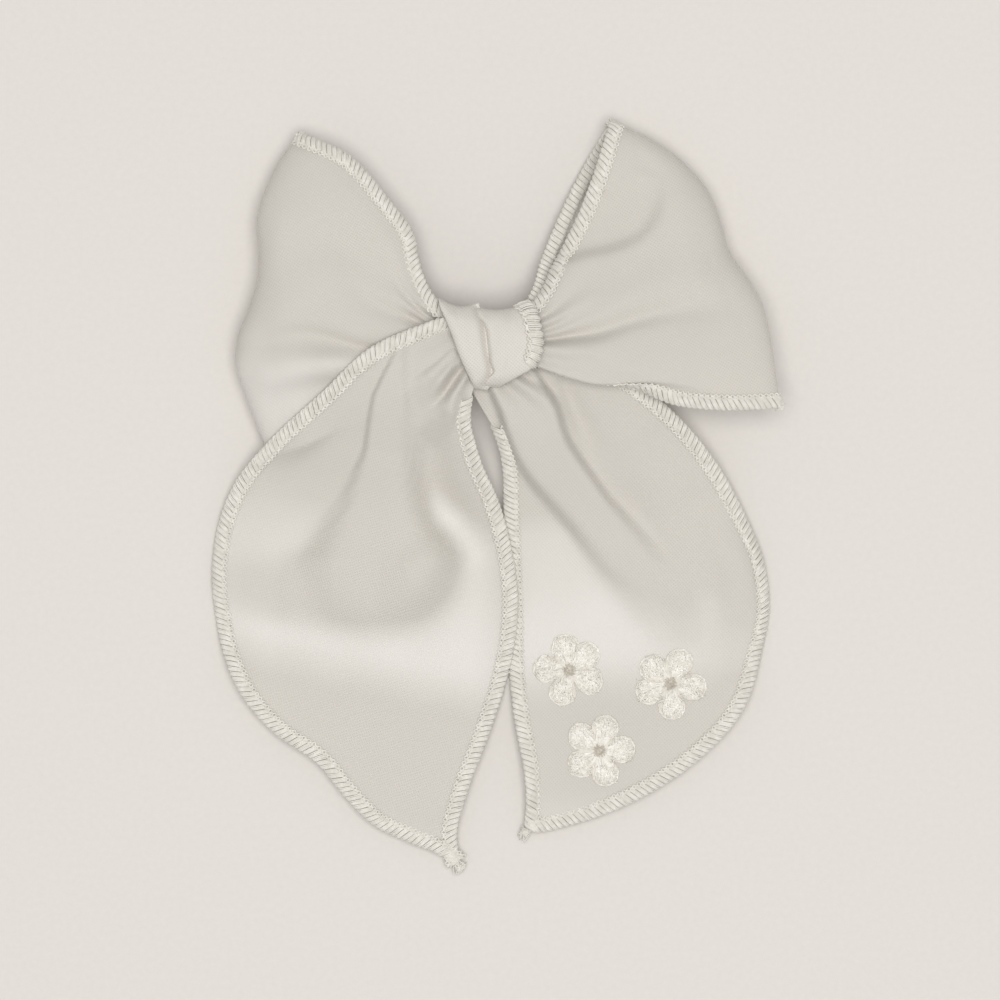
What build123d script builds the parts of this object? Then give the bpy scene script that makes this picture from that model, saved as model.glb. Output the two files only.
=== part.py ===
from build123d import *
import os

# A hand-tied chiffon hair bow on an alligator clip, lying face up. Millimetres, +Z up.
# Plan positions are measured from the knot's middle; the origin is on the floor,
# under the middle of the whole bow.

os.makedirs("parts", exist_ok=True)

# The knot's place in the bow's frame
KNOT_X = -0.754
KNOT_Y = 31.229

# Cloth and its overlocked edge
CLOTH = 0.6
STITCH = 1.2
STITCH_WIDTH = 2.4

# Cutting blocks: higher and wider than the bow
BLOCK_HEIGHT = 40
REACH = 75

# Knot: elliptical sections across X, as (x, half height in Y, half depth in Z)
KNOT_MIDDLE_Y = -1.5
KNOT_MIDDLE_Z = 15.5
KNOT_LEFT = -9
KNOT_RIGHT = 10.4
KNOT_SECTIONS = [
    (KNOT_LEFT, 6.0, 3.9),
    (-5, 7.9, 4.9),
    (0.5, 8.5, 5.2),
    (6, 8.0, 5.0),
    (KNOT_RIGHT, 6.2, 3.9),
]
CORE_HALF_HEIGHT = 5.0
CORE_HALF_DEPTH = 3.0

# Loops: sections along Y, as
# (y, x of the fold, lowest z, highest z, back z at mid length, front z at mid length)
NECK_REACH = 9
MID_FRACTION = 0.42
SHOULDER_FRACTION = 0.78
LAYER_SPLIT = 0.78
LEFT_NECK_Z = (12.2, 14.6)
RIGHT_NECK_Z = (14.4, 17.4)
LEFT_LOOP_SECTIONS = [
    (43, -36.5, 2.1, 10.8, 5.0, 11.0),
    (32, -43.6, 0.7, 13.2, 4.5, 13.0),
    (20, -46.0, 1.8, 15.0, 6.0, 14.4),
    (8, -47.2, 1.8, 15.4, 9.8, 15.0),
    (-4, -50.2, 1.1, 13.5, 10.8, 14.2),
    (-14, -47.5, 0.7, 11.0, 8.6, 12.5),
    (-27, -43.8, 0.8, 8.5, 5.0, 9.0),
]
RIGHT_LOOP_SECTIONS = [
    (45, 20.8, 2.1, 11.0, 5.0, 11.5),
    (36, 37.0, 0.6, 13.6, 4.6, 13.5),
    (26, 44.8, 0.5, 14.6, 5.6, 15.0),
    (14, 49.6, 2.5, 16.0, 9.2, 16.0),
    (4, 54.4, 6.5, 18.0, 11.6, 17.3),
    (-5, 56.2, 10.9, 19.0, 13.2, 17.8),
    (-15, 56.9, 14.5, 19.6, 14.8, 17.4),
]

# Loop edges, from the knot outwards
LEFT_UPPER_EDGE = [(-6, 3.6), (-11, 8), (-15.6, 21), (-28, 36), (-37.4, 40.6), (-48, 44)]
LEFT_LOWER_EDGE = [(-6, -5), (-22, -14), (-38, -23), (-48, -24)]
RIGHT_UPPER_EDGE = [(6, 6), (12, 15), (18, 25), (22.4, 38), (24.4, 43.4), (25.5, 48)]
RIGHT_LOWER_EDGE = [(6, -6), (20, -9.4), (32, -12), (47, -14), (60, -13)]

# Tails: the left and right line of each, from the knot to the tip,
# then the height of the cloth's underside along Y
LEFT_TAIL_LINES = (
    [
        (-3, 5.5), (-14, 2), (-23, -2), (-43, -20), (-53.6, -36), (-54.6, -54),
        (-50, -70), (-34, -84), (-23, -97), (-6, -105.4),
    ],
    [(-1, -7), (-4, -16), (2, -34), (5.2, -52), (2.4, -70), (-5, -90), (-6, -105.4)],
)
RIGHT_TAIL_LINES = (
    [(0.5, -6), (2.4, -20), (2.8, -50), (5.4, -77), (7.6, -92), (7, -98.4)],
    [
        (5, -5), (18, -9.6), (31, -14), (44, -24), (54.2, -45), (54, -62),
        (42, -83), (18, -96), (7, -98.4),
    ],
)
LEFT_TAIL_HEIGHTS = [(8, 16.2), (-4, 16.0), (-18, 14.4), (-28, 10.5), (-38, 5.2), (-50, 1.9)]
RIGHT_TAIL_HEIGHTS = [(2, 11.9), (-8, 11.8), (-18, 11.2), (-28, 8.0), (-38, 3.4), (-50, 0)]
TAIL_END_Y = -110

# The line where the tails bend, and the slot left for it
BEND_Y = -18
BEND_SLOT_ABOVE = 1.8
BEND_SLOT_BELOW = 0.4

# Flower patches: (name, x, y, petal directions in degrees)
FLOWERS = [
    ("flower_patch_left", 15.8, -66.0, (100, 41, -27, -107, 176)),
    ("flower_patch_right", 36.0, -68.6, (66, -9, -86, -161, 138)),
    ("flower_patch_lower", 21.8, -82.0, (75, 3, -75, -145, 141)),
]
PETAL_OUT = 4.5
PETAL_RADIUS = 2.7
FLOWER_HUB = 3.2
EYELET = 0.7
PATCH = 1.0

# Alligator clip, lengthwise along X; CLIP_Y is its centre line
CLIP_Y = -1.5
CLIP_WIDTH = 8.5
STEEL = 0.7
PLATE_UNDERSIDE = 8.0
LEVER_END = -22.5
LEVER_RISE = 0.8
LEVER_BEND = 3
LEVER_CORNER = 2.5
NOSE = 22.5
NOSE_LENGTH = 2
NOSE_DROP = 0.5
NOSE_CORNER = 2
LOWER_NOSE_SETBACK = 1.9
PIN_X = -7
PIN_Z = 5.4
PIN_RADIUS = 0.8
PIN_HEAD = 1.3
PIN_HEAD_HEIGHT = 0.4
EAR_RADIUS = 1.9
EAR_HALF_BASE = 2.6
LOWER_EAR_RADIUS = 1.6
LOWER_EAR_HALF_BASE = 2.2
EAR_STEEL = 0.6
EAR_GAP = 0.2
RUNNING_FIT = 0.05
WAIST_HALF_LENGTH = 6.2
LOWER_PLATE_TOP_AT_PIN = 3.3
TOOTH_TIP = 7.4
TOOTH_ROOT = 6.9
TOOTH_ROOT_RISE = 0.2
TOOTH_LEAD = 1
TOOTH_START = 6.5
TOOTH_PITCH = 2.0
TOOTH_COUNT = 7
LINING = 0.5
LINING_WIDTH = 9.4
LINING_TURN_UNDER = 5
GLUE_X = 0.7
GLUE_HALF_SIZE = (7, 3.6)
GLUE_HEIGHT = 2
WIRE = 0.3
COIL_RADIUS = 1.35
COIL_TURNS = 4.5
COIL_PITCH = 0.75
LEG_REACH = 9
UPPER_LEG_Z = 7.9
LOWER_LEG_Z = 2.2


def level(z):
    """The plan plane at height z, with the knot's middle as its origin."""
    return Plane(origin=(KNOT_X, KNOT_Y, z))


def cross_section(x):
    """The plane across the bow at x from the knot: local x is Y, local y is Z."""
    return Plane(origin=(KNOT_X + x, KNOT_Y, 0), x_dir=(0, 1, 0), z_dir=(1, 0, 0))


def side_section(y):
    """The plane along the bow at y from the knot: local x is X, local y is Z."""
    return Plane(origin=(KNOT_X, KNOT_Y + y, 0), x_dir=(1, 0, 0), z_dir=(0, -1, 0))


def finish(part, name):
    part.label = name
    export_step(part, f"parts/{name}.step")
    box = part.bounding_box()
    print(f"{name:26s} solids {len(part.solids())}  z {box.min.Z:6.2f} to {box.max.Z:6.2f}")


def knot_barrel():
    """The knot's outer shape, without its hollow."""
    with BuildPart() as barrel:
        for x, half_height, half_depth in KNOT_SECTIONS:
            with BuildSketch(cross_section(x)):
                with Locations((KNOT_MIDDLE_Y, KNOT_MIDDLE_Z)):
                    Ellipse(half_height, half_depth)
        loft()
    return barrel.part


def plan_slice(left_points, right_points):
    """A block between two lines that run down the knot."""
    with BuildPart() as block:
        with BuildSketch(level(0)):
            with BuildLine():
                left = Spline(*left_points)
                right = Spline(*right_points)
                Line(left @ 0, right @ 0)
                Line(left @ 1, right @ 1)
            make_face()
        extrude(amount=BLOCK_HEIGHT)
    return block.part


def loop_shell(sections, side, neck_x, neck_z, thickness):
    """A loop of cloth: a C section from the knot round the fold and back, lofted along Y."""
    half = thickness / 2
    mid = CLOTH / 2
    ends = ((side, 0), (-side, 0))
    with BuildPart() as shell:
        for y, fold_x, lowest, highest, back_mid, front_mid in sections:
            middle = neck_x + MID_FRACTION * (fold_x - neck_x)
            shoulder = neck_x + SHOULDER_FRACTION * (fold_x - neck_x)
            neck_back, neck_front = neck_z if abs(y) < NECK_REACH else (back_mid, front_mid)
            path = [
                ((neck_x, neck_front), (0, 1)),
                ((middle, front_mid), (0, 1)),
                ((shoulder, highest - mid), (0, 1)),
                ((fold_x - side * mid, (lowest + highest) / 2), (side, 0)),
                ((shoulder, lowest + mid), (0, -1)),
                ((middle, back_mid), (0, -1)),
                ((neck_x, neck_back), (0, -1)),
            ]
            outer = [(x + half * nx, z + half * nz) for (x, z), (nx, nz) in path]
            inner = [(x - half * nx, z - half * nz) for (x, z), (nx, nz) in path]
            with BuildSketch(side_section(y)):
                with BuildLine():
                    skin = Spline(*outer, tangents=ends)
                    lining = Spline(*inner, tangents=ends)
                    Line(skin @ 0, lining @ 0)
                    Line(skin @ 1, lining @ 1)
                make_face()
        loft()
    return shell.part


def front_half(sections, side, neck_x, neck_z):
    """The space that holds a loop's front layer: over a surface between its layers, up to the fold."""
    with BuildPart() as half_space:
        for y, fold_x, lowest, highest, back_mid, front_mid in sections:
            middle = neck_x + MID_FRACTION * (fold_x - neck_x)
            shoulder = neck_x + SHOULDER_FRACTION * (fold_x - neck_x)
            neck_back, neck_front = neck_z if abs(y) < NECK_REACH else (back_mid, front_mid)
            fold_z = (lowest + highest) / 2
            with BuildSketch(side_section(y)):
                with BuildLine():
                    Polyline(
                        (neck_x - side, neck_back + LAYER_SPLIT * (neck_front - neck_back)),
                        (middle, back_mid + LAYER_SPLIT * (front_mid - back_mid)),
                        (shoulder, fold_z),
                        (side * REACH, fold_z),
                        (side * REACH, BLOCK_HEIGHT),
                        (neck_x - side, BLOCK_HEIGHT),
                        close=True,
                    )
                make_face()
        loft(ruled=True)
    return half_space.part


def shifted(points, distance):
    """The points of a line, each moved to the line's left by a distance."""
    moved = []
    for i, (x, y) in enumerate(points):
        before = points[max(i - 1, 0)]
        after = points[min(i + 1, len(points) - 1)]
        along = Vector(after[0] - before[0], after[1] - before[1]).normalized()
        moved.append((x - distance * along.Y, y + distance * along.X))
    return moved


def loop_outline(upper_edge, lower_edge, side, inset):
    """A block with the loop's plan between its two serged edges, each moved in by the inset."""
    far = side * REACH
    with BuildPart() as block:
        with BuildSketch(level(-1)):
            with BuildLine():
                upper = Spline(*shifted(upper_edge, -side * inset))
                lower = Spline(*shifted(lower_edge, side * inset))
                Line(upper @ 0, lower @ 0)
                Polyline(upper @ 1, (far, (upper @ 1).Y), (far, (lower @ 1).Y), lower @ 1)
            make_face()
        extrude(amount=BLOCK_HEIGHT)
    return block.part


def tail_slab(heights, thickness, above, below):
    """Cloth that falls from the knot to the floor, between two lines across it."""
    floor_z = heights[-1][1]
    tops = [(y, z + thickness) for y, z in heights]
    ends = ((-1, 0), (-1, 0))
    with BuildPart() as slab:
        for x in (-REACH, REACH):
            with BuildSketch(cross_section(x)):
                with BuildLine():
                    under = Spline(*heights, tangents=ends)
                    over = Spline(*tops, tangents=ends)
                    Line(under @ 0, over @ 0)
                    Polyline(
                        under @ 1,
                        (TAIL_END_Y, floor_z),
                        (TAIL_END_Y, floor_z + thickness),
                        over @ 1,
                    )
                make_face()
        loft(ruled=True)
        with BuildSketch(cross_section(-REACH)):
            with Locations(((above + below) / 2, BLOCK_HEIGHT / 2 - 1)):
                Rectangle(above - below, BLOCK_HEIGHT)
        extrude(amount=2 * REACH, mode=Mode.INTERSECT)
    return slab.part


def inset_tip(left_line, right_line, inset):
    """Where a tail's two lines meet when both are moved in."""
    tip = Vector(*left_line[-1])
    left_way = (tip - Vector(*left_line[-2])).normalized()
    right_way = (tip - Vector(*right_line[-2])).normalized()
    left_in = Vector(-left_way.Y, left_way.X)
    right_in = Vector(right_way.Y, -right_way.X)
    return tip + (left_in + right_in) * (inset / (1 + left_in.dot(right_in)))


def tail_outline(left_line, right_line, inset):
    """A block with a tail's plan, each line moved in by the inset."""
    tip = inset_tip(left_line, right_line, inset)
    left_points = [*shifted(left_line, inset)[:-1], tip]
    right_points = [*shifted(right_line, -inset)[:-1], tip]
    with BuildPart() as block:
        with BuildSketch(level(-1)):
            with BuildLine():
                Spline(*left_points)
                Spline(*right_points)
                Line(left_points[0], right_points[0])
            make_face()
        extrude(amount=BLOCK_HEIGHT)
    return block.part


# Knot

BARREL = knot_barrel()

with BuildPart() as knot_core:
    with BuildSketch(cross_section(KNOT_LEFT)):
        with Locations((KNOT_MIDDLE_Y, KNOT_MIDDLE_Z)):
            Ellipse(CORE_HALF_HEIGHT, CORE_HALF_DEPTH)
    extrude(amount=KNOT_RIGHT - KNOT_LEFT)
finish(knot_core.part, "knot_core")

CREASE = [(-3, 8), (0, -4.4), (-1, -11)]
WRAP_EDGE = [(4.8, 8), (7.6, 0), (5.4, -11)]
KNOT_PIECES = {
    "knot_wrap_left_fold": ([(-12, 8), (-12, -2), (-12, -11)], CREASE),
    "knot_wrap_right_fold": (CREASE, WRAP_EDGE),
    "knot_wrap_edge_stitch": (WRAP_EDGE, [(13, 8), (13, -2), (13, -11)]),
}
for piece_name, (left_line, right_line) in KNOT_PIECES.items():
    slice_block = plan_slice(left_line, right_line)
    with BuildPart() as knot_wrap:
        add(BARREL)
        add(knot_core.part, mode=Mode.SUBTRACT)
        add(slice_block, mode=Mode.INTERSECT)
    finish(knot_wrap.part, piece_name)

# Loops

LOOPS = {
    "left": (
        (LEFT_LOOP_SECTIONS, -1, KNOT_LEFT, LEFT_NECK_Z), (LEFT_UPPER_EDGE, LEFT_LOWER_EDGE, -1),
    ),
    "right": (
        (RIGHT_LOOP_SECTIONS, 1, KNOT_RIGHT, RIGHT_NECK_Z), (RIGHT_UPPER_EDGE, RIGHT_LOWER_EDGE, 1),
    ),
}
for loop_name, (shell_shape, plan_shape) in LOOPS.items():
    whole_plan = loop_outline(*plan_shape, inset=0)
    cloth_plan = loop_outline(*plan_shape, inset=STITCH_WIDTH)
    cloth_shell = loop_shell(*shell_shape, CLOTH)
    stitch_shell = loop_shell(*shell_shape, STITCH)
    front_space = front_half(*shell_shape)

    for layer, keep in (("front", Mode.INTERSECT), ("back", Mode.SUBTRACT)):
        with BuildPart() as loop:
            add(cloth_shell)
            add(cloth_plan, mode=Mode.INTERSECT)
            add(front_space, mode=keep)
        finish(loop.part, f"{loop_name}_loop_{layer}")

    with BuildPart() as loop_edges:
        add(stitch_shell)
        add(whole_plan, mode=Mode.INTERSECT)
        add(cloth_plan, mode=Mode.SUBTRACT)
    bands = loop_edges.part.solids().sort_by(Axis.Y)
    for band, place in ((bands[0], "lower"), (bands[-1], "upper")):
        finish(band, f"{loop_name}_loop_edge_{place}")

# Tails: gathers above the bend line, free cloth below it

TAILS = {
    "left": (LEFT_TAIL_LINES, LEFT_TAIL_HEIGHTS),
    "right": (RIGHT_TAIL_LINES, RIGHT_TAIL_HEIGHTS),
}
for tail_name, (lines, heights) in TAILS.items():
    whole_plan = tail_outline(*lines, inset=0)
    cloth_plan = tail_outline(*lines, inset=STITCH_WIDTH)
    stretches = {
        f"{tail_name}_tail_gather": (heights[0][0], BEND_Y + BEND_SLOT_ABOVE),
        f"{tail_name}_tail": (BEND_Y - BEND_SLOT_BELOW, TAIL_END_Y),
    }
    for stretch_name, (above, below) in stretches.items():
        cloth_slab = tail_slab(heights, CLOTH, above, below)
        stitch_slab = tail_slab(heights, STITCH, above, below)
        with BuildPart() as cloth:
            add(cloth_slab)
            add(cloth_plan, mode=Mode.INTERSECT)
            add(BARREL, mode=Mode.SUBTRACT)
        finish(cloth.part, stretch_name)

        with BuildPart() as stitch_band:
            add(stitch_slab)
            add(whole_plan, mode=Mode.INTERSECT)
            add(cloth_plan, mode=Mode.SUBTRACT)
            add(BARREL, mode=Mode.SUBTRACT)
        finish(stitch_band.part, f"{stretch_name}_edge_stitch")

# Flower patches on the right tail

for flower_name, flower_x, flower_y, petals in FLOWERS:
    with BuildPart() as flower:
        with BuildSketch(level(CLOTH)):
            with Locations((flower_x, flower_y)):
                Circle(FLOWER_HUB)
                for direction in petals:
                    with Locations(Location((0, 0, 0), (0, 0, direction))):
                        with Locations((PETAL_OUT, 0)):
                            Circle(PETAL_RADIUS)
                Circle(EYELET, mode=Mode.SUBTRACT)
        extrude(amount=PATCH)
    finish(flower.part, flower_name)

# Alligator clip

PLATE_TOP = PLATE_UNDERSIDE + STEEL
EAR_OUTSIDE = CLIP_WIDTH / 2
LOWER_EAR_OUTSIDE = EAR_OUTSIDE - EAR_STEEL - EAR_GAP


def ear(inner_face_y, corners, radius, hole_radius):
    """An ear: a tab from its plate, rounded and drilled about the pin."""
    with BuildPart() as tab:
        with BuildSketch(side_section(inner_face_y)):
            with BuildLine():
                Polyline(*corners, close=True)
            make_face()
            with Locations((PIN_X, PIN_Z)):
                Circle(radius)
                Circle(hole_radius, mode=Mode.SUBTRACT)
        extrude(amount=-EAR_STEEL)
    return tab.part


TOP_EAR_CORNERS = [
    (PIN_X - EAR_HALF_BASE, PLATE_UNDERSIDE),
    (PIN_X + EAR_HALF_BASE, PLATE_UNDERSIDE),
    (PIN_X + EAR_RADIUS, PIN_Z),
    (PIN_X - EAR_RADIUS, PIN_Z),
]
TOP_EARS = [
    ear(face_y, TOP_EAR_CORNERS, EAR_RADIUS, PIN_RADIUS)
    for face_y in (CLIP_Y + EAR_OUTSIDE - EAR_STEEL, CLIP_Y - EAR_OUTSIDE)
]

with BuildPart() as clip_top_jaw:
    with BuildSketch(side_section(CLIP_Y)):
        with BuildLine():
            Polyline(
                (LEVER_END, PLATE_UNDERSIDE + LEVER_RISE),
                (PIN_X - LEVER_BEND, PLATE_UNDERSIDE),
                (NOSE - NOSE_LENGTH, PLATE_UNDERSIDE),
                (NOSE, PLATE_UNDERSIDE - NOSE_DROP),
                (NOSE, PLATE_TOP - NOSE_DROP),
                (NOSE - NOSE_LENGTH, PLATE_TOP),
                (PIN_X - LEVER_BEND, PLATE_TOP),
                (LEVER_END, PLATE_TOP + LEVER_RISE),
                close=True,
            )
        make_face()
    extrude(amount=CLIP_WIDTH / 2, both=True)
    add(TOP_EARS)
    lever_corners = clip_top_jaw.edges().filter_by(Axis.Z).group_by(Axis.X)[0]
    fillet(lever_corners, radius=LEVER_CORNER)
    nose_corners = clip_top_jaw.edges().filter_by(Axis.Z).group_by(Axis.X)[-1]
    fillet(nose_corners, radius=NOSE_CORNER)
finish(clip_top_jaw.part, "clip_top_jaw")

LOWER_NOSE = NOSE - LOWER_NOSE_SETBACK
LOWER_NOSE_TOP = TOOTH_ROOT - TOOTH_ROOT_RISE
SLOPE = (LOWER_NOSE_TOP - LOWER_PLATE_TOP_AT_PIN) / (LOWER_NOSE - PIN_X)


def lower_plate_top(x):
    return LOWER_PLATE_TOP_AT_PIN + SLOPE * (x - PIN_X)


LOWER_EAR_CORNERS = [
    (PIN_X - LOWER_EAR_HALF_BASE, lower_plate_top(PIN_X - LOWER_EAR_HALF_BASE) - STEEL / 2),
    (PIN_X + LOWER_EAR_HALF_BASE, lower_plate_top(PIN_X + LOWER_EAR_HALF_BASE) - STEEL / 2),
    (PIN_X + LOWER_EAR_RADIUS, PIN_Z),
    (PIN_X - LOWER_EAR_RADIUS, PIN_Z),
]
LOWER_EARS = [
    ear(face_y, LOWER_EAR_CORNERS, LOWER_EAR_RADIUS, PIN_RADIUS + RUNNING_FIT)
    for face_y in (CLIP_Y + LOWER_EAR_OUTSIDE - EAR_STEEL, CLIP_Y - LOWER_EAR_OUTSIDE)
]

with BuildPart() as clip_lower_jaw:
    with BuildSketch(side_section(CLIP_Y)):
        with BuildLine():
            Polyline(
                (LEVER_END, 0),
                (PIN_X, LOWER_PLATE_TOP_AT_PIN - STEEL),
                (LOWER_NOSE, LOWER_NOSE_TOP - STEEL),
                (LOWER_NOSE, LOWER_NOSE_TOP),
                (PIN_X, LOWER_PLATE_TOP_AT_PIN),
                (LEVER_END, STEEL),
                close=True,
            )
        make_face()
    extrude(amount=CLIP_WIDTH / 2, both=True)
    with BuildSketch(level(0)):
        with Locations(
            (PIN_X, CLIP_Y + EAR_OUTSIDE),
            (PIN_X, CLIP_Y - EAR_OUTSIDE),
        ):
            Rectangle(2 * WAIST_HALF_LENGTH, 2 * (EAR_OUTSIDE - LOWER_EAR_OUTSIDE))
    extrude(amount=PLATE_TOP, mode=Mode.SUBTRACT)
    add(LOWER_EARS)
    for inner_face in (CLIP_Y + EAR_OUTSIDE - EAR_STEEL, CLIP_Y - EAR_OUTSIDE):
        tooth_lead = TOOTH_START - TOOTH_LEAD
        tooth_end = TOOTH_START + TOOTH_COUNT * TOOTH_PITCH
        teeth = [(TOOTH_START, TOOTH_ROOT)]
        for tooth in range(TOOTH_COUNT):
            start = TOOTH_START + tooth * TOOTH_PITCH
            teeth.append((start + TOOTH_PITCH / 2, TOOTH_TIP))
            teeth.append((start + TOOTH_PITCH, TOOTH_ROOT))
        with BuildSketch(side_section(inner_face)):
            with BuildLine():
                Polyline(
                    (tooth_lead, lower_plate_top(tooth_lead) - STEEL / 2),
                    *teeth,
                    (tooth_end, lower_plate_top(tooth_end) - STEEL / 2),
                    close=True,
                )
            make_face()
        extrude(amount=-EAR_STEEL)
finish(clip_lower_jaw.part, "clip_lower_jaw")

with BuildPart() as clip_hinge_pin:
    with BuildSketch(side_section(CLIP_Y + EAR_OUTSIDE)):
        with Locations((PIN_X, PIN_Z)):
            Circle(PIN_RADIUS)
    extrude(amount=CLIP_WIDTH)
    for head_plane_y in (EAR_OUTSIDE + PIN_HEAD_HEIGHT, -EAR_OUTSIDE):
        with BuildSketch(side_section(CLIP_Y + head_plane_y)):
            with Locations((PIN_X, PIN_Z)):
                Circle(PIN_HEAD)
        extrude(amount=PIN_HEAD_HEIGHT)
finish(clip_hinge_pin.part, "clip_hinge_pin")

COIL_LENGTH = COIL_TURNS * COIL_PITCH
COIL_START_Y = CLIP_Y + COIL_LENGTH / 2
COIL_PLANE = Plane(
    origin=(KNOT_X + PIN_X, KNOT_Y + COIL_START_Y, PIN_Z), x_dir=(0, 0, 1), z_dir=(0, -1, 0)
)
COIL = COIL_PLANE * Helix(pitch=COIL_PITCH, height=COIL_LENGTH, radius=COIL_RADIUS)
LEVER_X = PIN_X - LEG_REACH
LEG_ENDS = [
    (COIL @ 0, side_section(COIL_START_Y).from_local_coords((LEVER_X, UPPER_LEG_Z))),
    (
        COIL @ 1,
        side_section(COIL_START_Y - COIL_LENGTH).from_local_coords((LEVER_X, LOWER_LEG_Z)),
    ),
]
with BuildPart() as clip_spring:
    with BuildSketch(Plane(COIL @ 0, z_dir=COIL % 0)):
        Circle(WIRE)
    sweep(path=COIL, is_frenet=True)
    for leg_start, leg_end in LEG_ENDS:
        leg = leg_end - leg_start
        with BuildSketch(Plane(leg_start, z_dir=leg)):
            Circle(WIRE)
        extrude(amount=leg.length)
finish(clip_spring.part, "clip_spring")

with BuildPart() as clip_ribbon_lining:
    with BuildSketch(side_section(CLIP_Y)):
        with BuildLine():
            Polyline(
                (PIN_X, PLATE_TOP),
                (PIN_X, PLATE_TOP + LINING),
                (NOSE - NOSE_LENGTH, PLATE_TOP + LINING),
                (NOSE + LINING, PLATE_TOP),
                (NOSE + LINING, PLATE_UNDERSIDE - LINING - NOSE_DROP),
                (NOSE - NOSE_LENGTH, PLATE_UNDERSIDE - LINING),
                (PIN_X + LINING_TURN_UNDER, PLATE_UNDERSIDE - LINING),
                (PIN_X + LINING_TURN_UNDER, PLATE_UNDERSIDE),
                (NOSE - NOSE_LENGTH, PLATE_UNDERSIDE),
                (NOSE, PLATE_UNDERSIDE - NOSE_DROP),
                (NOSE, PLATE_TOP - NOSE_DROP),
                (NOSE - NOSE_LENGTH, PLATE_TOP),
                close=True,
            )
        make_face()
    extrude(amount=LINING_WIDTH / 2, both=True)
finish(clip_ribbon_lining.part, "clip_ribbon_lining")

with BuildPart() as glue_pad:
    with BuildSketch(level(PLATE_TOP + LINING)):
        with Locations((GLUE_X, CLIP_Y)):
            Ellipse(*GLUE_HALF_SIZE)
    extrude(amount=GLUE_HEIGHT)
    add(BARREL, mode=Mode.SUBTRACT)
finish(glue_pad.part, "glue_pad")
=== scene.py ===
"""The looks of a hand-tied chiffon hair bow on an alligator clip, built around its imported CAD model.

Plan shapes are in millimetres from the knot's middle, +Y towards the loops' tips and +Z up from the floor.
place() puts them in the frame, in metres.
"""

import math

import bpy
import numpy as np
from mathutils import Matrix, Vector
from mathutils.bvhtree import BVHTree


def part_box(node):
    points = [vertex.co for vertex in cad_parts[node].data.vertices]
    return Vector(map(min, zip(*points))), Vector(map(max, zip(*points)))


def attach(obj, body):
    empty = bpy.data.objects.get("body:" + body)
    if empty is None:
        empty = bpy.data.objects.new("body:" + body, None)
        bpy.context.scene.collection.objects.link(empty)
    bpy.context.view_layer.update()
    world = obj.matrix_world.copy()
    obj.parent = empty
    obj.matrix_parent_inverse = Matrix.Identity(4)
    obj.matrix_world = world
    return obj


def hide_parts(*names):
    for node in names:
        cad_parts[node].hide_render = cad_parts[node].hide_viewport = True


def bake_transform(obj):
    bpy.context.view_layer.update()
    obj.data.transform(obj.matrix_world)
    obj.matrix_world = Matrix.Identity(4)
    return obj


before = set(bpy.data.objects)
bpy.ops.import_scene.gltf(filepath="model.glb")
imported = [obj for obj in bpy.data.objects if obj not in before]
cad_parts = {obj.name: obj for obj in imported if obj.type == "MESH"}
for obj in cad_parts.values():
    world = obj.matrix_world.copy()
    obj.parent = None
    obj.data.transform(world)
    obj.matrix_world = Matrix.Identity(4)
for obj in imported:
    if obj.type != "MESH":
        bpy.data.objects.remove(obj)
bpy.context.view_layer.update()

MM = 0.001
RANDOM = np.random.default_rng(7)

core_low, core_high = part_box("knot_core")
KNOT_X = (core_low.x + core_high.x) / 2 - 0.7 * MM
KNOT_Y = (core_low.y + core_high.y) / 2 + 1.5 * MM
KNOT_MIDDLE_Z = (core_low.z + core_high.z) / 2 / MM

# Cloth and thread
CLOTH_THICKNESS = 0.24
SERGE_WIDTH = 2.4
SERGE_PITCH = 1.15
SERGE_STRANDS = 4
THREAD_RADIUS = 0.15
FLOOR_GAP = 0.1
LOWEST_CLOTH = 0.72


# Lines and height fields


def unit(vectors):
    """The same directions at length 1."""
    return vectors / (np.linalg.norm(vectors, axis=-1, keepdims=True) + 1e-9)


def run_along(line):
    """How far along a line each of its points is."""
    return np.concatenate([[0], np.cumsum(np.linalg.norm(np.diff(line, axis=0), axis=1))])


def sampled(values, stops, at):
    """Rows of values that belong to stops, read off at other places."""
    return np.stack([np.interp(at, stops, column) for column in values.T], axis=-1)


def hermite(t, start, start_slope, end, end_slope):
    """A smooth step from start to end as t goes from 0 to 1."""
    return (
        (2 * t**3 - 3 * t**2 + 1) * start
        + (t**3 - 2 * t**2 + t) * start_slope
        + (3 * t**2 - 2 * t**3) * end
        + (t**3 - t**2) * end_slope
    )


def evenly(line, count):
    """The same line with its points evenly spaced."""
    run = run_along(line)
    return sampled(line, run, np.linspace(0, run[-1], count))


def smooth_line(points, count):
    """Evenly spaced points along the smooth curve through a few chosen ones."""
    points = np.array(points, float)
    chord = np.linalg.norm(np.diff(points, axis=0), axis=1)[:, None]
    slope = np.diff(points, axis=0) / chord
    inner = (slope[:-1] * chord[1:] + slope[1:] * chord[:-1]) / (chord[1:] + chord[:-1])
    tangent = np.vstack([slope[:1], inner, slope[-1:]])
    t = np.linspace(0, 1, 40, endpoint=False)[:, None]
    spans = [
        hermite(t, points[i], chord[i] * tangent[i], points[i + 1], chord[i] * tangent[i + 1])
        for i in range(len(chord))
    ]
    return evenly(np.vstack([*spans, points[-1:]]), count)


def line_at(line, t):
    """Points of an even line, for each share t of its length."""
    return sampled(line, np.linspace(0, 1, len(line)), t)


def smooth_values(keys, at):
    """Values that pass smoothly through (place, value, value...) keys, for each place asked for."""
    keys = np.array(keys, float)
    places = keys[:, 0]
    i = np.clip(np.searchsorted(places, at) - 1, 0, len(places) - 2)
    width = places[i + 1] - places[i]
    t = np.clip((at - places[i]) / width, 0, 1)
    columns = [(column, np.gradient(column, places)) for column in keys[:, 1:].T]
    return [
        hermite(t, value[i], width * slope[i], value[i + 1], width * slope[i + 1]) for value, slope in columns
    ]


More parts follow.
